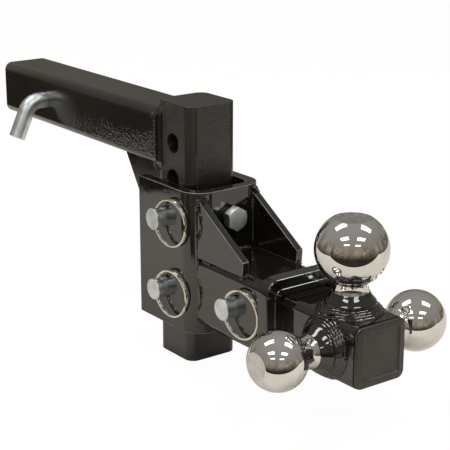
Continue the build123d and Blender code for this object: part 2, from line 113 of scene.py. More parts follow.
# --- Node helpers ----------------------------------------------------------------------------------
class Shader:
    """A node material in the making: its tree, its Principled shader and object-space coordinates."""

    def __init__(self, name, **uniform):
        self.material = bpy.data.materials.new(name)
        self.material.use_nodes = True
        self.tree = self.material.node_tree
        self.shader = next(n for n in self.tree.nodes if n.type == "BSDF_PRINCIPLED")
        self.coords = self.tree.nodes.new("ShaderNodeTexCoord")
        self.place = self.coords.outputs["Object"]
        for socket, value in uniform.items():
            self.shader.inputs[socket.replace("_", " ")].default_value = value

    def add(self, kind, **settings):
        made = self.tree.nodes.new(kind)
        for key, value in settings.items():
            setattr(made, key, value)
        return made

    def link(self, start, end):
        self.tree.links.new(start, end)

    def noise(self, scale, detail=2.0, rough=0.5, warp=0.0, stretch=None):
        """Noise value, 0 to 1. scale is in waves per metre."""
        place = self.place
        if stretch:
            mapping = self.add("ShaderNodeMapping")
            mapping.inputs["Scale"].default_value = stretch
            self.link(place, mapping.inputs["Vector"])
            place = mapping.outputs["Vector"]
        made = self.add("ShaderNodeTexNoise")
        made.inputs["Scale"].default_value = scale
        made.inputs["Detail"].default_value = detail
        made.inputs["Roughness"].default_value = rough
        made.inputs["Distortion"].default_value = warp
        self.link(place, made.inputs["Vector"])
        return made.outputs["Fac"]

    def cells(self, scale):
        made = self.add("ShaderNodeTexVoronoi", feature="SMOOTH_F1")
        made.inputs["Scale"].default_value = scale
        made.inputs["Smoothness"].default_value = 0.6
        self.link(self.place, made.inputs["Vector"])
        return made.outputs["Distance"]

    def spread(self, value, low, high, start=0.35, end=0.65):
        """Maps a value from start..end to low..high, clamped."""
        made = self.add("ShaderNodeMapRange", interpolation_type="SMOOTHSTEP")
        for name, number in (("From Min", start), ("From Max", end), ("To Min", low), ("To Max", high)):
            made.inputs[name].default_value = number
        self.link(value, made.inputs["Value"])
        return made.outputs["Result"]

    def maths(self, operation, first, second):
        made = self.add("ShaderNodeMath", operation=operation)
        for socket, value in zip(made.inputs, (first, second)):
            if isinstance(value, (int, float)):
                socket.default_value = value
            else:
                self.link(value, socket)
        return made.outputs["Value"]

    def blend(self, value, first, second):
        """Colour between two, by a value from 0 to 1."""
        made = self.add("ShaderNodeValToRGB")
        made.color_ramp.elements[0].color = (*first, 1)
        made.color_ramp.elements[1].color = (*second, 1)
        self.link(value, made.inputs["Fac"])
        return made.outputs["Color"]

    def bump(self, height, depth, under=None, strength=1.0):
        """depth is the relief in metres for a height of 1."""
        made = self.add("ShaderNodeBump")
        made.inputs["Distance"].default_value = depth
        if isinstance(strength, (int, float)):
            made.inputs["Strength"].default_value = strength
        else:
            self.link(strength, made.inputs["Strength"])
        self.link(height, made.inputs["Height"])
        if under is not None:
            self.link(under, made.inputs["Normal"])
        return made.outputs["Normal"]

    def set(self, socket, output):
        self.link(output, self.shader.inputs[socket])


def gloss_paint():
    s = Shader("gloss_black_paint", IOR=1.8)
    s.set("Base Color", s.blend(s.spread(s.noise(9, 3), 0, 1),
                                (0.0065, 0.0053, 0.0039), (0.0115, 0.0095, 0.0070)))
    dust = s.spread(s.noise(700, 1), 0, 1, 0.66, 0.78)
    s.set("Roughness", s.maths("ADD", s.spread(s.noise(25, 3), 0.045, 0.10),
                               s.maths("MULTIPLY", dust, 0.12)))
    peel = s.bump(s.noise(120, 2), 0.00006)
    s.set("Normal", s.bump(s.noise(650, 1), 0.000006, peel))
    return s.material


def textured_paint(name, pebble_size, pebble_depth, low_only=False):
    """Powder coat, pebbled where it went on thick.

    pebble_size is in metres; low_only keeps the pebbles low and off the tail.
    """
    s = Shader(name, IOR=1.8)
    s.set("Base Color", s.blend(s.spread(s.noise(14, 3), 0, 1),
                                (0.0070, 0.0056, 0.0045), (0.0120, 0.0099, 0.0080)))
    s.set("Roughness", s.maths("ADD", s.spread(s.noise(30, 3), 0.10, 0.16),
                               s.spread(s.noise(500, 1), 0.0, 0.05)))
    fine = s.bump(s.noise(1100, 2), 0.000025)
    if not pebble_depth:
        s.set("Normal", fine)
        return s.material
    axes = s.add("ShaderNodeSeparateXYZ")
    s.link(s.place, axes.inputs["Vector"])
    facing = s.add("ShaderNodeSeparateXYZ")
    s.link(s.coords.outputs["Normal"], facing.inputs["Vector"])
    on_bend = s.maths("ABSOLUTE", s.maths("MULTIPLY", facing.outputs["X"], facing.outputs["Y"]), 0)
    amount = s.maths("MULTIPLY", s.spread(facing.outputs["Z"], 1.0, 0.0, 0.35, 0.9),
                     s.spread(on_bend, 1.0, 0.0, 0.08, 0.3))
    if low_only:
        along = s.maths("ADD", axes.outputs["X"], s.maths("MULTIPLY", s.noise(25, 2), 0.08))
        down = s.maths("ADD", axes.outputs["Z"], s.maths("MULTIPLY", s.noise(40, 2), 0.02))
        place = s.maths("MULTIPLY", s.spread(along, 0.05, 1.0, 0.04, 0.22),
                        s.spread(down, 1.0, 0.1, -0.008, 0.022))
    else:
        place = s.spread(axes.outputs["Z"], 0.1, 1.0, -0.080, -0.045)
    amount = s.maths("MULTIPLY", amount, place)
    pebbles = s.maths("ADD", s.noise(1.0 / pebble_size, 2, 0.6),
                      s.maths("MULTIPLY", s.cells(1.3 / pebble_size), 0.7))
    s.set("Normal", s.bump(pebbles, pebble_depth, fine, amount))
    return s.material


def painted_highlight_edge():
    """Bright paint along the plates' sharp edges: a painted highlight standing in for the light they catch
    from all round.
    """
    s = Shader("painted_edge_highlight", IOR=1.7)
    # Painted highlight: the edge colour is far lighter than the black paint, standing in for light caught
    # by the edges.
    s.set("Base Color", s.blend(s.spread(s.noise(60, 4), 0, 1), (0.13, 0.12, 0.103), (0.30, 0.28, 0.245)))
    s.set("Roughness", s.spread(s.noise(150, 3), 0.22, 0.36))
    s.set("Normal", s.bump(s.noise(700, 2), 0.00002))
    return s.material


def weld_paint(name, rough):
    s = Shader(name, IOR=1.8)
    s.set("Base Color", s.blend(s.spread(s.noise(60, 3), 0, 1),
                                (0.0065, 0.0053, 0.0042), (0.013, 0.0107, 0.0082)))
    s.set("Roughness", s.spread(s.noise(120, 3), rough, rough + 0.05))
    s.set("Normal", s.bump(s.noise(160, 2, 0.5), 0.00012))
    return s.material


def chrome():
    s = Shader("mirror_chrome", Metallic=1.0)
    s.set("Base Color", s.blend(s.spread(s.noise(40, 3), 0, 1), (0.76, 0.745, 0.72), (0.84, 0.825, 0.80)))
    s.set("Roughness", s.spread(s.noise(70, 4), 0.012, 0.045))
    s.set("Normal", s.bump(s.noise(90, 2), 0.000012))
    return s.material


def turned_chrome(side, centre):
    """Satin plating on a ball's flat, with faint turning rings round its middle."""
    s = Shader("turned_chrome_" + side, Metallic=1.0)
    s.set("Base Color", s.blend(s.spread(s.noise(120, 4), 0, 1), (0.60, 0.585, 0.565),
                                (0.70, 0.685, 0.665)))
    s.set("Roughness", s.spread(s.noise(260, 4), 0.26, 0.40))
    mapping = s.add("ShaderNodeMapping")
    mapping.inputs["Location"].default_value = -centre
    s.link(s.place, mapping.inputs["Vector"])
    rings = s.add("ShaderNodeTexWave", wave_type="RINGS", rings_direction="Z" if side == "top" else "Y")
    rings.inputs["Scale"].default_value = 260
    rings.inputs["Distortion"].default_value = 0.6
    s.link(mapping.outputs["Vector"], rings.inputs["Vector"])
    turned = s.bump(rings.outputs["Fac"], 0.00002)
    s.set("Normal", s.bump(s.noise(900, 3, 0.6), 0.00004, turned))
    return s.material


def zinc():
    s = Shader("zinc_plating", Metallic=1.0)
    s.set("Base Color", s.blend(s.spread(s.noise(110, 4, 0.6), 0, 1),
                                (0.66, 0.71, 0.72), (0.80, 0.845, 0.86)))
    s.set("Roughness", s.spread(s.noise(160, 4, 0.6), 0.30, 0.44))
    grain = s.bump(s.noise(420, 3, 0.6), 0.00002)
    s.set("Normal", s.bump(s.noise(1800, 2), 0.000006, grain))
    return s.material


def nickel():
    s = Shader("nickel_wire", Metallic=1.0)
    s.set("Base Color", s.blend(s.spread(s.noise(90, 3), 0, 1), (0.70, 0.645, 0.55), (0.84, 0.79, 0.70)))
    s.set("Roughness", s.spread(s.noise(200, 3), 0.07, 0.17))
    s.set("Normal", s.bump(s.noise(600, 2), 0.000015))
    return s.material


def spring_steel():
    s = Shader("bright_spring_steel", Metallic=1.0)
    s.set("Base Color", s.blend(s.spread(s.noise(300, 3), 0, 1), (0.48, 0.48, 0.47), (0.62, 0.62, 0.60)))
    s.set("Roughness", s.spread(s.noise(300, 3), 0.12, 0.25))
    s.set("Normal", s.bump(s.noise(900, 2), 0.00001))
    return s.material


def moulded_plastic():
    s = Shader("moulded_plastic", IOR=1.48)
    s.set("Base Color", s.blend(s.spread(s.noise(25, 3), 0, 1),
                                (0.034, 0.029, 0.0235), (0.046, 0.0395, 0.0325)))
    s.set("Roughness", s.spread(s.noise(60, 3), 0.24, 0.36))
    s.set("Normal", s.bump(s.noise(1500, 2), 0.000035))
    return s.material


# --- Surroundings ----------------------------------------------------------------------------------
TOWARDS = Vector((math.sin(CAMERA_AZIMUTH), -math.cos(CAMERA_AZIMUTH), 0))
ACROSS = Vector((math.cos(CAMERA_AZIMUTH), math.sin(CAMERA_AZIMUTH), 0))
ball_low, ball_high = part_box("hitch_ball_top")
TABLE_MIDDLE = Vector(((ball_low.x + ball_high.x) / 2, 0, 0))
TABLE_FRONT = 0.21
TABLE_SIDES = (-0.67, 0.95)
CEILING = 1.95
LIGHT_SIZE = (1.22, 0.61)
LIGHT_RADIANCE = 7.5
# Two rows of three ceiling lights, as (towards the camera, across), in ceiling heights.
LIGHTS = ((-0.186, -0.541), (-0.018, 0.683), (0.81, -0.631), (0.905, 0.564), (1.724, -0.759), (1.898, 0.48))


def make_floor():
    """Pale floor. Mirrors see it as a table top of limited size, as in the corner of a studio."""
    mesh = bpy.data.meshes.new("floor")
    shape = bmesh.new()
    bmesh.ops.create_circle(shape, cap_ends=True, radius=9, segments=96)
    bmesh.ops.translate(shape, verts=shape.verts, vec=(TABLE_MIDDLE.x, 0, object_low.z - 0.2 * MM))
    shape.to_mesh(mesh)
    shape.free()
    floor = bpy.data.objects.new("floor", mesh)
    scene.collection.objects.link(floor)
    s = Shader("pale_floor")
    s.tree.nodes.remove(s.shader)
    output = next(n for n in s.tree.nodes if n.type == "OUTPUT_MATERIAL")

    def distance(direction):
        dot = s.add("ShaderNodeVectorMath", operation="DOT_PRODUCT")
        dot.inputs[1].default_value = direction
        s.link(s.place, dot.inputs[0])
        return s.maths("SUBTRACT", dot.outputs["Value"], TABLE_MIDDLE.dot(direction))

    towards, across = distance(TOWARDS), distance(ACROSS)
    front = s.spread(towards, 1, 0, TABLE_FRONT - 0.004, TABLE_FRONT + 0.004)
    left = s.spread(across, 0, 1, TABLE_SIDES[0] - 0.01, TABLE_SIDES[0] + 0.01)
    right = s.spread(across, 1, 0, TABLE_SIDES[1] - 0.01, TABLE_SIDES[1] + 0.01)
    on_table = s.maths("MULTIPLY", s.maths("MULTIPLY", front, left), right)

    paint = s.add("ShaderNodeBsdfDiffuse")
    s.link(s.blend(s.spread(s.noise(6, 3), 0, 1), (0.745, 0.70, 0.635), (0.785, 0.74, 0.675)),
           paint.inputs["Color"])
    beyond = s.add("ShaderNodeBsdfTransparent")
    table = s.add("ShaderNodeMixShader")
    s.link(on_table, table.inputs["Fac"])
    s.link(beyond.outputs[0], table.inputs[1])
    s.link(paint.outputs[0], table.inputs[2])
    glow = s.add("ShaderNodeEmission")
    glow.inputs["Color"].default_value = (1, 1, 1, 1)
    glow.inputs["Strength"].default_value = 1.03
    white = s.add("ShaderNodeMixShader")
    white.inputs["Fac"].default_value = 0.06
    s.link(glow.outputs[0], white.inputs[1])
    s.link(paint.outputs[0], white.inputs[2])
    path = s.add("ShaderNodeLightPath")
    final = s.add("ShaderNodeMixShader")
    s.link(path.outputs["Is Camera Ray"], final.inputs["Fac"])
    s.link(table.outputs[0], final.inputs[1])
    s.link(white.outputs[0], final.inputs[2])
    s.link(final.outputs[0], output.inputs["Surface"])
    mesh.materials.append(s.material)


def make_world():
    world = bpy.data.worlds.new("workshop")
    world.use_nodes = True
    tree = world.node_tree
    tree.nodes.clear()
    new = tree.nodes.new
    link = tree.links.new
    coords = new("ShaderNodeTexCoord")
    axes = new("ShaderNodeSeparateXYZ")
    link(coords.outputs["Generated"], axes.inputs[0])
    height = new("ShaderNodeMapRange")
    height.inputs["From Min"].default_value = -1
    link(axes.outputs["Z"], height.inputs["Value"])
    bands = new("ShaderNodeValToRGB")
    ramp = bands.color_ramp
    stops = ((0.0, (0.034, 0.030, 0.026)), (0.36, (0.034, 0.030, 0.026)), (0.42, (0.12, 0.105, 0.082)),
             (0.50, (0.26, 0.232, 0.18)), (0.58, (0.27, 0.242, 0.20)), (0.66, (0.27, 0.254, 0.235)),
             (1.0, (0.33, 0.313, 0.298)))
    while len(ramp.elements) < len(stops):
        ramp.elements.new(0.5)
    for element, (place, colour) in zip(ramp.elements, stops):
        element.position = place
        element.color = (*colour, 1)
    link(height.outputs["Result"], bands.inputs["Fac"])
    # Shelves and stacked goods along the walls: upright streaks, only near the horizon.
    squeeze = new("ShaderNodeMapping")
    squeeze.inputs["Scale"].default_value = (1, 1, 0.8)
    link(coords.outputs["Generated"], squeeze.inputs["Vector"])
    streaks = new("ShaderNodeTexNoise")
    streaks.inputs["Scale"].default_value = 2.6
    streaks.inputs["Detail"].default_value = 4
    streaks.inputs["Roughness"].default_value = 0.55
    streaks.inputs["Distortion"].default_value = 1.2
    link(squeeze.outputs["Vector"], streaks.inputs["Vector"])
    contrast = new("ShaderNodeMapRange")
    contrast.inputs["From Min"].default_value = 0.35
    contrast.inputs["From Max"].default_value = 0.65
    contrast.inputs["To Min"].default_value = 0.22
    contrast.inputs["To Max"].default_value = 1.45
    link(streaks.outputs["Fac"], contrast.inputs["Value"])
    near_horizon = new("ShaderNodeMapRange")
    near_horizon.inputs["From Min"].default_value = 0.45
    near_horizon.inputs["From Max"].default_value = 0.05
    level = new("ShaderNodeMath")
    level.operation = "ABSOLUTE"
    link(axes.outputs["Z"], level.inputs[0])
    link(level.outputs[0], near_horizon.inputs["Value"])
    shade = new("ShaderNodeMix")
    shade.inputs["A"].default_value = 1
    link(near_horizon.outputs["Result"], shade.inputs["Factor"])
    link(contrast.outputs["Result"], shade.inputs["B"])
    room = new("ShaderNodeVectorMath")
    room.operation = "SCALE"
    link(bands.outputs["Color"], room.inputs[0])
    link(shade.outputs["Result"], room.inputs["Scale"])
    # A camera that sees past the floor sees white.
    path = new("ShaderNodeLightPath")
    pick = new("ShaderNodeMix")
    pick.data_type = "RGBA"
    colour_sockets = [i for i in pick.inputs if i.type == "RGBA"]
    colour_sockets[1].default_value = (1, 1, 1, 1)
    link(path.outputs["Is Camera Ray"], pick.inputs["Factor"])
    link(room.outputs["Vector"], colour_sockets[0])
    background = new("ShaderNodeBackground")
    link(next(o for o in pick.outputs if o.type == "RGBA"), background.inputs["Color"])
    output = new("ShaderNodeOutputWorld")
    link(background.outputs[0], output.inputs["Surface"])
    scene.world = world


def make_lights():
    middle = Vector((TABLE_MIDDLE.x, 0, (ball_low.z + ball_high.z) / 2))
    for index, (towards, across) in enumerate(LIGHTS):
        data = bpy.data.lights.new(f"ceiling_light_{index}", "AREA")
        data.shape = "RECTANGLE"
        data.size, data.size_y = LIGHT_SIZE
        data.energy = LIGHT_RADIANCE * math.pi * LIGHT_SIZE[0] * LIGHT_SIZE[1]
        light = bpy.data.objects.new(data.name, data)
        light.location = middle + CEILING * (TOWARDS * towards + ACROSS * across + Vector((0, 0, 1)))
        light.rotation_euler = (0, 0, CAMERA_AZIMUTH)
        scene.collection.objects.link(light)


# --- Mesh helpers ----------------------------------------------------------------------------------
def piece(name, points, faces, materials, body, replaces=(), sharp=38, chosen=None):
    """Makes a mesh piece in place, smooth-shaded between its sharp edges, and hands it to the frame."""
    mesh = bpy.data.meshes.new(name)
    mesh.from_pydata([tuple(p) for p in points], [], faces)
    for material in materials:
        mesh.materials.append(material)
    if chosen:
        mesh.polygons.foreach_set("material_index", chosen)
    shape = bmesh.new()
    shape.from_mesh(mesh)
    bmesh.ops.recalc_face_normals(shape, faces=shape.faces)
    shape.to_mesh(mesh)
    shape.free()
    mesh.polygons.foreach_set("use_smooth", [True] * len(mesh.polygons))
    mesh.set_sharp_from_angle(angle=math.radians(sharp))
    made = bpy.data.objects.new(name, mesh)
    scene.collection.objects.link(made)
    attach(made, body)
    if replaces:
        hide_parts(*replaces)
    return made


def join(parts):
    """One mesh from several lists of points and faces."""
    points, faces = [], []
    for some_points, some_faces in parts:
        start = len(points)
        points += some_points
        faces += [tuple(i + start for i in face) for face in some_faces]
    return points, faces


def rings_to_mesh(rings, closed_ends=True, round_way=True):
    """Skin over equal rings of points. A ring of one point is a pole."""
    points, faces, starts = [], [], []
    for ring in rings:
        starts.append(len(points))
        points += ring
    for a, b in zip(range(len(rings) - 1), range(1, len(rings))):
        count = max(len(rings[a]), len(rings[b]))
        last = count if round_way else count - 1
        for i in range(last):
            j = (i + 1) % count
            corners = []
            for ring, order in ((a, (i, j)), (b, (j, i))):
                if len(rings[ring]) == 1:
                    corners.append(starts[ring])
                else:
                    corners += [starts[ring] + k for k in order]
            faces.append(tuple(corners))
    if closed_ends and round_way:
        for ring in (0, len(rings) - 1):
            if len(rings[ring]) > 1:
                faces.append(tuple(starts[ring] + k for k in range(len(rings[ring]))))
    return points, faces


def lathe(profile, segments, place, shape=None):
    """Turned solid from (radius, height) points about local Z.

    shape may move each (radius, height, angle).
    """
    rings = []
    for radius, height in profile:
        count = 1 if radius < 1e-7 else segments
        ring = []
        for k in range(count):
            angle = 2 * math.pi * k / segments
            r, h = shape(radius, height, angle) if shape else (radius, height)
            ring.append(place @ Vector((r * math.cos(angle), r * math.sin(angle), h)))
        rings.append(ring)
    return rings_to_mesh(rings)


def rounded_square(half, radius, arc=8, straight=6):
    """Outline points (a, b) of a square with round corners."""
    flat = half - radius
    outline = []
    for quarter in range(4):
        turn = quarter * math.pi / 2
        cosine, sine = math.cos(turn), math.sin(turn)
        side = [(half, -flat + 2 * flat * k / straight) for k in range(straight)]
        side += [(flat + radius * math.cos(math.pi / 2 * k / arc),
                  flat + radius * math.sin(math.pi / 2 * k / arc))
                 for k in range(arc)]
        outline += [(a * cosine - b * sine, a * sine + b * cosine) for a, b in side]
    return outline


def bead(path, outwards, width, height, pitch, closed=False, seed=0.0, relief=0.3, lumps=0.22, around=11):
    """Weld bead with fish-scale ripples.

    path is evenly spaced points, and outwards the surface's normals there.
    """
    rings = []
    run = 0.0
    count = len(path)
    for i, point in enumerate(path):
        after = path[(i + 1) % count] if closed else path[min(i + 1, count - 1)]
        before = path[i - 1] if closed or i else path[0]
        along = (after - before).normalized()
        out = outwards[i] - along * outwards[i].dot(along)
        out.normalize()
        side = along.cross(out)
        wobble = noise.noise(Vector((run * 170, seed, 3.1)))
        lump = noise.noise(Vector((run * 300, seed + 9.7, 1.3)))
        end = 1.0 if closed else min(1.0, 0.25 + min(i, count - 1 - i) / 6)
        ring = []
        for k in range(around):
            angle = math.radians(-25 + 230 * k / (around - 1))
            bow = 0.45 * math.sin(max(0.0, min(math.pi, angle)))
            scale_at = (run / pitch + bow + 0.25 * wobble) % 1.0
            crest = 1.0 - relief * scale_at ** 1.6 + lumps * lump
            w = width / 2 * (1 + 0.16 * wobble) * (0.9 + 0.1 * crest) * end
            h = height * crest * (1 + 0.15 * wobble) * end
            ring.append(point + side * (w * math.cos(angle)) + out * (h * math.sin(angle)))
        rings.append(ring)
        run += (after - point).length
    points, faces = rings_to_mesh(rings, closed_ends=not closed)
    if closed:
        total = len(points)
        last = total - around
        for k in range(around):
            j = (k + 1) % around
            faces.append((last + k, last + j, j, k))
    return points, faces


def evenly(corners, step, closed=False):
    """Points every step or so along straight runs."""
    ends = list(corners) + ([corners[0]] if closed else [])
    path = []
    for start, end in zip(ends, ends[1:]):
        count = max(1, round((end - start).length / step))
        path += [start.lerp(end, k / count) for k in range(count)]
    if not closed:
        path.append(ends[-1])
    return path


def straight_bead(start, end, out, width, height, pitch, seed=0.0, relief=0.3, lumps=0.22):
    path = evenly([Vector(start), Vector(end)], pitch / 6)
    return bead(path, [Vector(out)] * len(path), width, height, pitch, seed=seed, relief=relief,
                lumps=lumps)


# --- Hitch balls and their weld skirts -------------------------------------------------------------
FLAT_D = {"top": 31.0 * MM, "near": 23.0 * MM, "far": 25.0 * MM}
NECK_D = {"top": 29.6 * MM, "near": 28.0 * MM, "far": 28.8 * MM}
SKIRT_TOP = 15.2 * MM


def ball_place(side):
    """Matrix whose local Z points out of the tube's face, from the ball's own box, and the ball's sizes."""
    low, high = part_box("hitch_ball_" + side)
    middle = (low + high) / 2
    if side == "top":
        return Matrix.Translation((middle.x, middle.y, low.z)), (high.x - low.x) / 2, high.z - low.z
    if side == "near":
        turn = Matrix.Rotation(math.pi / 2, 4, "X")
        return Matrix.Translation((middle.x, high.y, middle.z)) @ turn, (high.x - low.x) / 2, high.y - low.y
    turn = Matrix.Rotation(-math.pi / 2, 4, "X")
    return Matrix.Translation((middle.x, low.y, middle.z)) @ turn, (high.x - low.x) / 2, high.y - low.y


def make_ball(side, bright):
    place, radius, length = ball_place(side)
    flat_r, neck_r = FLAT_D[side] / 2, NECK_D[side] / 2
    centre = length - math.sqrt(radius ** 2 - flat_r ** 2)
    start = math.asin(neck_r / radius) + 0.035
    end = math.pi - math.asin(flat_r / radius) - 0.012
    join_h = centre - radius * math.cos(start)
    profile = [(0, 2 * MM), (neck_r, 2 * MM), (neck_r, SKIRT_TOP - 1.0 * MM)]
    steps = 14
    for k in range(steps + 1):
        share = k / steps
        waist = 0.75 * MM * math.sin(math.pi * share) + 0.15 * MM
        profile.append((neck_r - waist, SKIRT_TOP + (join_h - 1.0 * MM - SKIRT_TOP) * share))
    profile.append((neck_r + 0.25 * MM, join_h - 0.35 * MM))
    arc = 84
    for k in range(arc + 1):
        angle = start + (end - start) * k / arc
        profile.append((radius * math.sin(angle), centre - radius * math.cos(angle)))
    profile += [(flat_r - 0.05 * MM, length - 0.05 * MM), (flat_r - 0.35 * MM, length)]
    satin_from = len(profile)
    profile += [(flat_r * share, length) for share in (0.9, 0.6, 0.3)]
    profile.append((0, length))
    segments = 144
    points, faces = lathe(profile, segments, place)
    last_satin = len(faces) - segments * (len(profile) - satin_from)
    chosen = [1 if i >= last_satin else 0 for i in range(len(faces))]
    middle = place @ Vector((0, 0, length))
    satin = turned_chrome(side, middle)
    piece("ball_" + side, points, faces, [bright, satin], "hitch",
          ["hitch_ball_" + side], sharp=30, chosen=chosen)


def edge_drop(lateral):
    """How far the tube's surface has fallen away under a point beside its middle line."""
    past = abs(lateral) - (mount_half - TUBE_EDGE_R)
    if past <= 0:
        return 0.0
    past = min(past, TUBE_EDGE_R * 0.98)
    return TUBE_EDGE_R - math.sqrt(TUBE_EDGE_R ** 2 - past ** 2)


def make_skirt(side, paint, weld):
    """Smooth conical base of the ball, and the rows of weld that hold it to the tube."""
    place, radius, _ = ball_place(side)
    neck_r = NECK_D[side] / 2
    shoulder = 5.9 * MM
    cone = ((0.15, 15.7), (0.4, 15.35), (1.0, 14.3), (2.0, 12.6), (3.3, 10.9), (4.6, 9.5), (5.5, 8.4),
            (5.85, 7.5),
            (5.9, 6.8), (5.7, 6.1), (5.2, 5.5), (4.7, 5.0), (4.6, 4.0), (4.6, 0.0), (4.6, -5.0))
    profile = [(neck_r - 1.2 * MM, 14.0 * MM), (neck_r - 1.2 * MM, 15.5 * MM)]
    profile += [(neck_r + out * MM, up * MM) for out, up in cone]

    def wavy(r, h, angle):
        """The paint's edge on the neck wanders a little."""
        if h > 14.6 * MM:
            h += 0.45 * MM * noise.noise(Vector((2.2 * math.cos(angle), 2.2 * math.sin(angle),
                                                 radius * 90)))
        return r, h

    points, faces = lathe(profile, 120, place, wavy)
    piece("ball_base_" + side, points, faces, [paint], "hitch", ["ball_weld_" + side],
          sharp=50)

    # Rows of the weld, from the cone outwards: distance past the cone's shoulder, height, width and relief.
    rows = ((-0.4, 4.6, 3.6, 1.7), (1.3, 3.1, 3.8, 1.8), (3.1, 1.6, 3.8, 1.8), (4.8, 0.2, 3.8, 1.6))
    parts = []
    for index, (past, up, width, height) in enumerate(rows):
        row_r = (neck_r + shoulder) / MM + past
        path, out = [], []
        count = 300
        for k in range(count):
            angle = 2 * math.pi * k / count
            wander = 0.5 * noise.noise(Vector((3 * math.cos(angle), 3 * math.sin(angle),
                                               index + radius * 500)))
            r = (row_r + wander) * MM
            lateral = r * math.sin(angle)
            fall = edge_drop(lateral)
            path.append(place @ Vector((r * math.cos(angle), lateral, up * MM - fall)))
            lean = Vector((math.cos(angle) * 0.8, math.sin(angle) * (0.8 + fall * 160), 1.0)).normalized()
            out.append(place.to_3x3() @ lean)
        pitch = 2 * math.pi * row_r * MM / round(2 * math.pi * row_r / (7.5 + 0.8 * index))
        parts.append(bead(path, out, width * MM, height * MM, pitch, closed=True,
                          seed=index * 3.3 + radius * 900,
                          relief=0.14, lumps=0.12))
    points, faces = join(parts)
    piece("ball_weld_rows_" + side, points, faces, [weld], "hitch", sharp=60)


# --- End plug --------------------------------------------------------------------------------------
def make_plug(plastic):
    """Moulded plug: flange, sloping frame, thin ridge and a sunk panel, and the hollow body in the tube."""
    start_x = mount_high.x
    half = (plug_high.z - plug_low.z) / 2
    top = (plug_high.x - start_x) / MM
    sections = ((7.2, -14.5, 1.0), (7.0, -14.9, 1.0), (6.3, -14.9, 1.2), (6.1, -14.6, 1.3),
                (6.1, -0.3, 1.3),
                (1.4, 0.15, 5.4), (0.5, 0.35, 6.0), (0.1, 0.75, 6.4), (0.0, 1.2, 6.5), (0.0, 2.0, 6.5),
                (0.15, 2.5, 6.4), (0.5, 2.85, 6.1), (1.1, 3.05, 5.6), (1.9, 3.15, 5.0),
                (5.1, top - 0.25, 3.2),
                (5.3, top - 0.05, 3.1), (5.5, top, 3.0), (5.9, top, 2.7), (6.1, top - 0.08, 2.6),
                (6.25, top - 0.35, 2.5), (6.9, 2.55, 2.2), (7.2, 2.4, 2.0), (7.6, 2.35, 1.9))
    rings = []
    for inset, x, radius in sections:
        outline = rounded_square(half - inset * MM, radius * MM)
        rings.append([Vector((start_x + x * MM, a, mount_mid.z + b)) for a, b in outline])
    points, faces = rings_to_mesh(rings)
    piece("end_plug_moulding", points, faces, [plastic], "hitch", ["end_plug"], sharp=24)


# --- Set bolt --------------------------------------------------------------------------------------
def make_set_bolt(plating):
    """Hexagon head with a turned chamfer, a corner up and one down, and a threaded shank."""
    middle = (bolt_low + bolt_high) / 2
    apothem = (bolt_high.y - bolt_low.y) / 2
    top = bolt_high.x
    seat = top - 8 * MM
    chamfer_r = 9.2 * MM
    slope = math.tan(math.radians(25))
    segments = 120

    def hex_radius(angle):
        """Distance to the hexagon's side, with a slightly round corner on +Z."""
        past = angle % (math.pi / 3) - math.pi / 6
        return min(apothem / math.cos(past), 10.85 * MM)

    def point(x, radius, angle):
        return Vector((x, middle.y + radius * math.sin(angle), middle.z + radius * math.cos(angle)))

    angles = [2 * math.pi * k / segments for k in range(segments)]
    full = [hex_radius(a) for a in angles]
    rings = [[point(seat, 6 * MM, a) for a in angles],
             [point(seat, 9.0 * MM, a) for a in angles],
             [point(seat + 0.2 * MM + max(0, r - chamfer_r) * slope, r, a) for a, r in zip(angles, full)]]
    rows = 12
    for k in range(rows + 1):
        share = k / rows
        ring = []
        for a, r in zip(angles, full):
            here = r + (8.6 * MM - r) * share
            drop = max(0.0, here - chamfer_r) * slope + 0.25 * MM * max(0.0, 1 - share * 5) ** 2
            ring.append(point(top - drop, here, a))
        rings.append(ring)
    rings += [[point(top - 0.12 * MM * (1 - r / 8.6) , r * MM, a) for a in angles] for r in (6, 3)]
    rings.append([Vector((top - 0.12 * MM, middle.y, middle.z))])
    head_mesh = rings_to_mesh(rings)

    pitch = 1.8 * MM
    around = 48
    start, end = bolt_low.x, seat + 0.3 * MM
    steps = int((end - start) / (pitch / 10))
    thread = [[Vector((start, middle.y, middle.z))]]
    for i in range(steps + 1):
        x = start + (end - start) * i / steps
        ring = []
        for k in range(around):
            a = 2 * math.pi * k / around
            tooth = abs(((x / pitch - k / around) % 1.0) * 2 - 1)
            taper = min(1.0, 0.78 + (x - start) / (7 * MM))
            ring.append(point(x, (5.35 + 0.95 * tooth) * MM * taper, a))
        thread.append(ring)
    points, faces = join([head_mesh, rings_to_mesh(thread)])
    piece("set_bolt_threaded", points, faces, [plating], "set_bolt", ["set_bolt"], sharp=24)


# --- Split rings -----------------------------------------------------------------------------------
RING_OD = 43.0 * MM
RING_RADIAL = 2.0 * MM
RING_COIL = 1.36 * MM
RING_STEP = 0.69 * MM


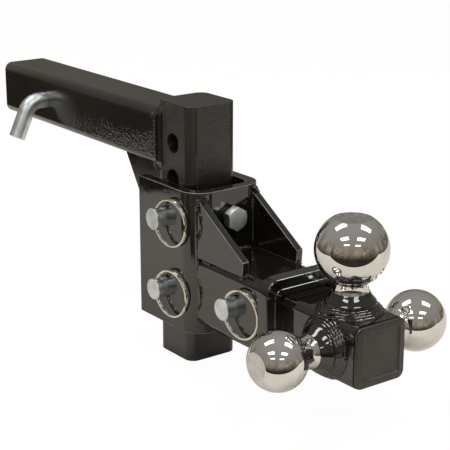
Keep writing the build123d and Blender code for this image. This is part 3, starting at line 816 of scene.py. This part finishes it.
def make_split_ring(which, wire, jog_at):
    """Two coils of flattened wire. One coil steps across beside the two cut ends."""
    low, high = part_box("pull_ring_" + which)
    middle = (low + high) / 2
    lean = math.asin((high.y - low.y - 2.8 * MM) / RING_OD)
    across = Vector((math.cos(lean), math.sin(lean), 0))
    up = Vector((0, 0, 1))
    axis = Vector((-math.sin(lean), math.cos(lean), 0))
    mean_r = (RING_OD - RING_RADIAL) / 2
    corner = 0.42 * MM
    section = []
    for quarter, (sx, sy) in enumerate(((1, 1), (-1, 1), (-1, -1), (1, -1))):
        for k in range(4):
            a = math.pi / 2 * quarter + math.pi / 2 * k / 3
            section.append((sx * (RING_RADIAL / 2 - corner) + corner * math.cos(a),
                            sy * (RING_COIL / 2 - corner) + corner * math.sin(a)))
    per_turn = 120
    jog = 0.30
    start = math.radians(jog_at)
    total = 4 * math.pi - jog - 0.06
    count = int(per_turn * total / (2 * math.pi))
    rings = []
    for i in range(count + 1):
        turn = total * i / count
        angle = start + turn
        share = min(1.0, max(0.0, (turn - (2 * math.pi - jog)) / jog))
        layer = -RING_STEP + 2 * RING_STEP * share * share * (3 - 2 * share)
        ends = min(i, count - i)
        trim = 1.0 if ends > 2 else 0.72 + 0.14 * ends
        outwards = across * math.cos(angle) + up * math.sin(angle)
        rings.append([middle + outwards * (mean_r + a * trim) + axis * (layer + b * trim) for a,
                      b in section])
    points, faces = rings_to_mesh(rings)
    piece("split_ring_" + which, points, faces, [wire], "pull_ring_" + which,
          ["pull_ring_" + which])


# --- Weld beads ------------------------------------------------------------------------------------
def make_shank_weld(weld):
    """Low bead round the shank's end on the post's back.

    It has a curl at its top corner and a drip at the bottom one.
    """
    half = (shank_high.z - shank_low.z) / 2
    x = post_low.x
    path, out = [], []
    for a, b in rounded_square(half + 0.45 * MM, 8.3 * MM, arc=14, straight=46):
        path.append(Vector((x - 0.9 * MM, a, b)))
        out.append(Vector((-0.45, a / half, b / half)).normalized())
    parts = [bead(path, out, 6.4 * MM, 1.7 * MM, 3.4 * MM, closed=True, seed=4.2, relief=0.35)]
    for side in (-1, 1):
        curl, curl_out = [], []
        for k in range(31):
            angle = math.radians(-60 + 330 * k / 30)
            curl.append(Vector((x - 3.2 * MM + 1.7 * MM * math.cos(angle), side * (half + 0.5 * MM),
                                half - 6.2 * MM + 2.1 * MM * math.sin(angle))))
            curl_out.append(Vector((-0.3, side, 0.35)).normalized())
        parts.append(bead(curl, curl_out, 1.7 * MM, 1.7 * MM, 2.0 * MM, seed=side * 8.1, relief=0.3))
        parts.append(straight_bead((x - 4.5 * MM, side * (half + 0.2 * MM), -half + 2.0 * MM),
                                   (x - 0.2 * MM, side * (half - 2.0 * MM), -half - 5.0 * MM),
                                   (-0.3, side, 0), 3.0 * MM, 1.6 * MM, 2.4 * MM, seed=side * 5.3))
    points, faces = join(parts)
    piece("shank_weld_bead", points, faces, [weld], "hitch", sharp=60)


def make_tail_welds(weld):
    """Fillets along both sides of the tail gusset, on the shank and on the post."""
    parts = []
    for side, y in ((-1, tail_low.y), (1, tail_high.y)):
        parts.append(straight_bead((tail_low.x + 2 * MM, y + side * 0.6 * MM, tail_high.z - 0.6 * MM),
                                   (tail_high.x - 3 * MM, y + side * 0.6 * MM, tail_high.z - 0.6 * MM),
                                   (0, side, -1), 5.2 * MM, 2.2 * MM, 2.6 * MM, seed=side * 2.1))
        parts.append(straight_bead((tail_high.x - 0.6 * MM, y + side * 0.6 * MM, tail_high.z - 4 * MM),
                                   (tail_high.x - 0.6 * MM, y + side * 0.6 * MM, tail_low.z + 1 * MM),
                                   (-1, side, 0), 5.2 * MM, 2.2 * MM, 2.6 * MM, seed=side * 5.7))
    points, faces = join(parts)
    piece("tail_gusset_welds", points, faces, [weld], "hitch", sharp=60)


def make_channel_welds(weld):
    """Welds between the channel, the receiver, its collar and the side gussets."""
    parts = []
    half = (receiver_high.z - receiver_low.z) / 2
    mid_z = (receiver_high.z + receiver_low.z) / 2
    gusset_t = side_high.y - side_low.y
    for side in (-1, 1):
        y = side * half
        inner = side * (half - gusset_t)
        seam_x = channel_face_x(half)
        # receiver's and gusset's sides on the channel's round bends
        parts.append(straight_bead((seam_x + 0.2 * MM, y, receiver_low.z + 7 * MM),
                                   (seam_x + 0.2 * MM, y, side_high.z - 7 * MM),
                                   (0.7, side, 0), 4.0 * MM, 0.9 * MM, 6.0 * MM, seed=side * 1.9,
                                   relief=0.0, lumps=0.1))
        # inside corner between the web and the gusset's inner face
        parts.append(straight_bead((channel_face_x(inner) + 0.5 * MM, inner - side * 0.5 * MM,
                                    receiver_high.z + 2 * MM),
                                   (channel_face_x(inner) + 0.5 * MM, inner - side * 0.5 * MM,
                                    side_high.z - 8 * MM),
                                   (1, -side, 0), 3.6 * MM, 1.7 * MM, 3.4 * MM, seed=side * 3.4))
        # curled run over the gusset's top end
        path, out = [], []
        count = 70
        for k in range(count + 1):
            share = k / count
            drop = 15 * MM * share
            sideways_share = 0.5 + 0.5 * math.cos(math.pi * min(1, share * 1.5))
            lateral = side * (half - sideways_share * gusset_t * 0.95 + 0.5 * MM)
            path.append(Vector((channel_face_x(lateral) + 0.9 * MM + drop * 0.12, lateral,
                                side_high.z + 3.4 * MM - drop)))
            out.append(Vector((0.8, side * 0.5, 0.6)).normalized())
        parts.append(bead(path, out, 5.0 * MM, 2.6 * MM, 3.6 * MM, seed=side * 6.3, relief=0.55))
        # short runs at both ends of the gusset's foot
        for low_x, high_x, seed in ((web_x + 1 * MM, web_x + 13 * MM, 7.7),
                                    (side_high.x - 6 * MM, side_high.x - 0.5 * MM, 8.8)):
            parts.append(straight_bead((low_x, y - side * 1.8 * MM, receiver_high.z - 2.2 * MM),
                                       (high_x, y - side * 1.8 * MM, receiver_high.z - 2.2 * MM),
                                       (0, side, 0.35), 5.0 * MM, 2.0 * MM, 2.4 * MM, seed=seed * side,
                                       relief=0.4))
        # round the gusset's outer end, on the receiver's top
        parts.append(straight_bead((side_high.x + 0.4 * MM, y - side * 1.4 * MM,
                                    receiver_high.z - 0.6 * MM),
                                   (side_high.x + 0.4 * MM, inner + side * 0.6 * MM,
                                    receiver_high.z + 0.2 * MM),
                                   (0.7, 0, 0.9), 4.6 * MM, 2.1 * MM, 2.4 * MM, seed=2.9 * side,
                                   relief=0.5))
    # receiver's top and bottom on the web
    for z, up in ((receiver_high.z, 1), (receiver_low.z, -1)):
        parts.append(straight_bead((web_x + 0.6 * MM, receiver_low.y + 9 * MM, z + up * 0.3 * MM),
                                   (web_x + 0.6 * MM, receiver_high.y - 9 * MM, z + up * 0.3 * MM),
                                   (1, 0, up), 5.0 * MM, 2.2 * MM, 2.6 * MM, seed=up * 4.4))
    # round the back of the collar
    outline = rounded_square(half + 0.5 * MM, 8.4 * MM, arc=14, straight=40)
    path = [Vector((collar_low.x - 0.6 * MM, a, mid_z + b)) for a, b in outline]
    out = [Vector((-0.9, a / half, b / half)).normalized() for a, b in outline]
    parts.append(bead(path, out, 4.6 * MM, 2.0 * MM, 2.8 * MM, closed=True, seed=1.2, relief=0.25))
    points, faces = join(parts)
    piece("channel_welds", points, faces, [weld], "hitch", sharp=60)


# --- CAD nodes that stay ---------------------------------------------------------------------------
def finish_node(name, material, edge=0.0, painted_highlight_material=None):
    """Puts the finished material on a CAD node and, if asked, rounds its sharp edges a little; an edge
    material given with it paints a highlight on that rounding.
    """
    made = nodes[name]
    for slot in made.material_slots:
        slot.material = material
    if edge:
        weld = made.modifiers.new("weld", "WELD")
        weld.merge_threshold = 0.002 * MM
        flat = made.modifiers.new("flat", "DECIMATE")
        flat.decimate_type = "DISSOLVE"
        flat.angle_limit = math.radians(0.4)
        bevel = made.modifiers.new("edge", "BEVEL")
        bevel.width = edge
        bevel.segments = 3
        bevel.limit_method = "ANGLE"
        bevel.angle_limit = math.radians(38)
        bevel.use_clamp_overlap = True
        bevel.harden_normals = True
        # The edge material paints a highlight on the rounded edges.
        if painted_highlight_material:
            made.data.materials.append(painted_highlight_material)
            bevel.material = len(made.data.materials) - 1


def main():
    make_camera()
    make_floor()
    make_world()
    make_lights()

    gloss = gloss_paint()
    bar_paint = textured_paint("wrinkled_black_paint", 3.0 * MM, 0.0011, low_only=True)
    post_paint = textured_paint("pebbled_black_paint", 1.15 * MM, 0.00045)
    plate_paint = textured_paint("satin_black_paint", 0, 0)
    # Bright edge colour: a painted highlight for the channel's and gussets' edges.
    highlight_paint = painted_highlight_edge()
    gloss_weld = weld_paint("gloss_black_weld", 0.06)
    textured_weld = weld_paint("textured_black_weld", 0.16)
    bright = chrome()
    plating = zinc()
    wire = nickel()
    spring = spring_steel()
    plastic = moulded_plastic()

    finish_node("drop_post", post_paint, 0.5 * MM)
    finish_node("shank", bar_paint, 0.5 * MM)
    finish_node("tail_gusset", plate_paint, 0.6 * MM)
    finish_node("shank_weld", textured_weld)
    finish_node("height_channel", gloss, 0.8 * MM, highlight_paint)
    finish_node("receiver_tube", gloss, 0.3 * MM)
    finish_node("receiver_collar", gloss, 0.45 * MM)
    finish_node("side_gusset_near", gloss, 1.0 * MM, highlight_paint)
    finish_node("side_gusset_far", gloss, 1.0 * MM, highlight_paint)
    finish_node("ball_mount_tube", gloss)
    finish_node("hitch_pin", plating)
    finish_node("hitch_pin_clip", plating)

    for side in ("top", "near", "far"):
        make_ball(side, bright)
        make_skirt(side, gloss, gloss_weld)
    for which, jog_at in (("upper", 8), ("lower", -6), ("receiver", 96)):
        finish_node("ring_pin_" + which, plating)
        finish_node("detent_ball_" + which, spring)
        finish_node("detent_spring_" + which, spring)
        make_split_ring(which, wire, jog_at)
    make_plug(plastic)
    make_set_bolt(plating)
    make_shank_weld(textured_weld)
    make_tail_welds(textured_weld)
    make_channel_welds(gloss_weld)

    scene.view_settings.view_transform = "Standard"
    scene.cycles.sample_clamp_direct = 2.0


main()
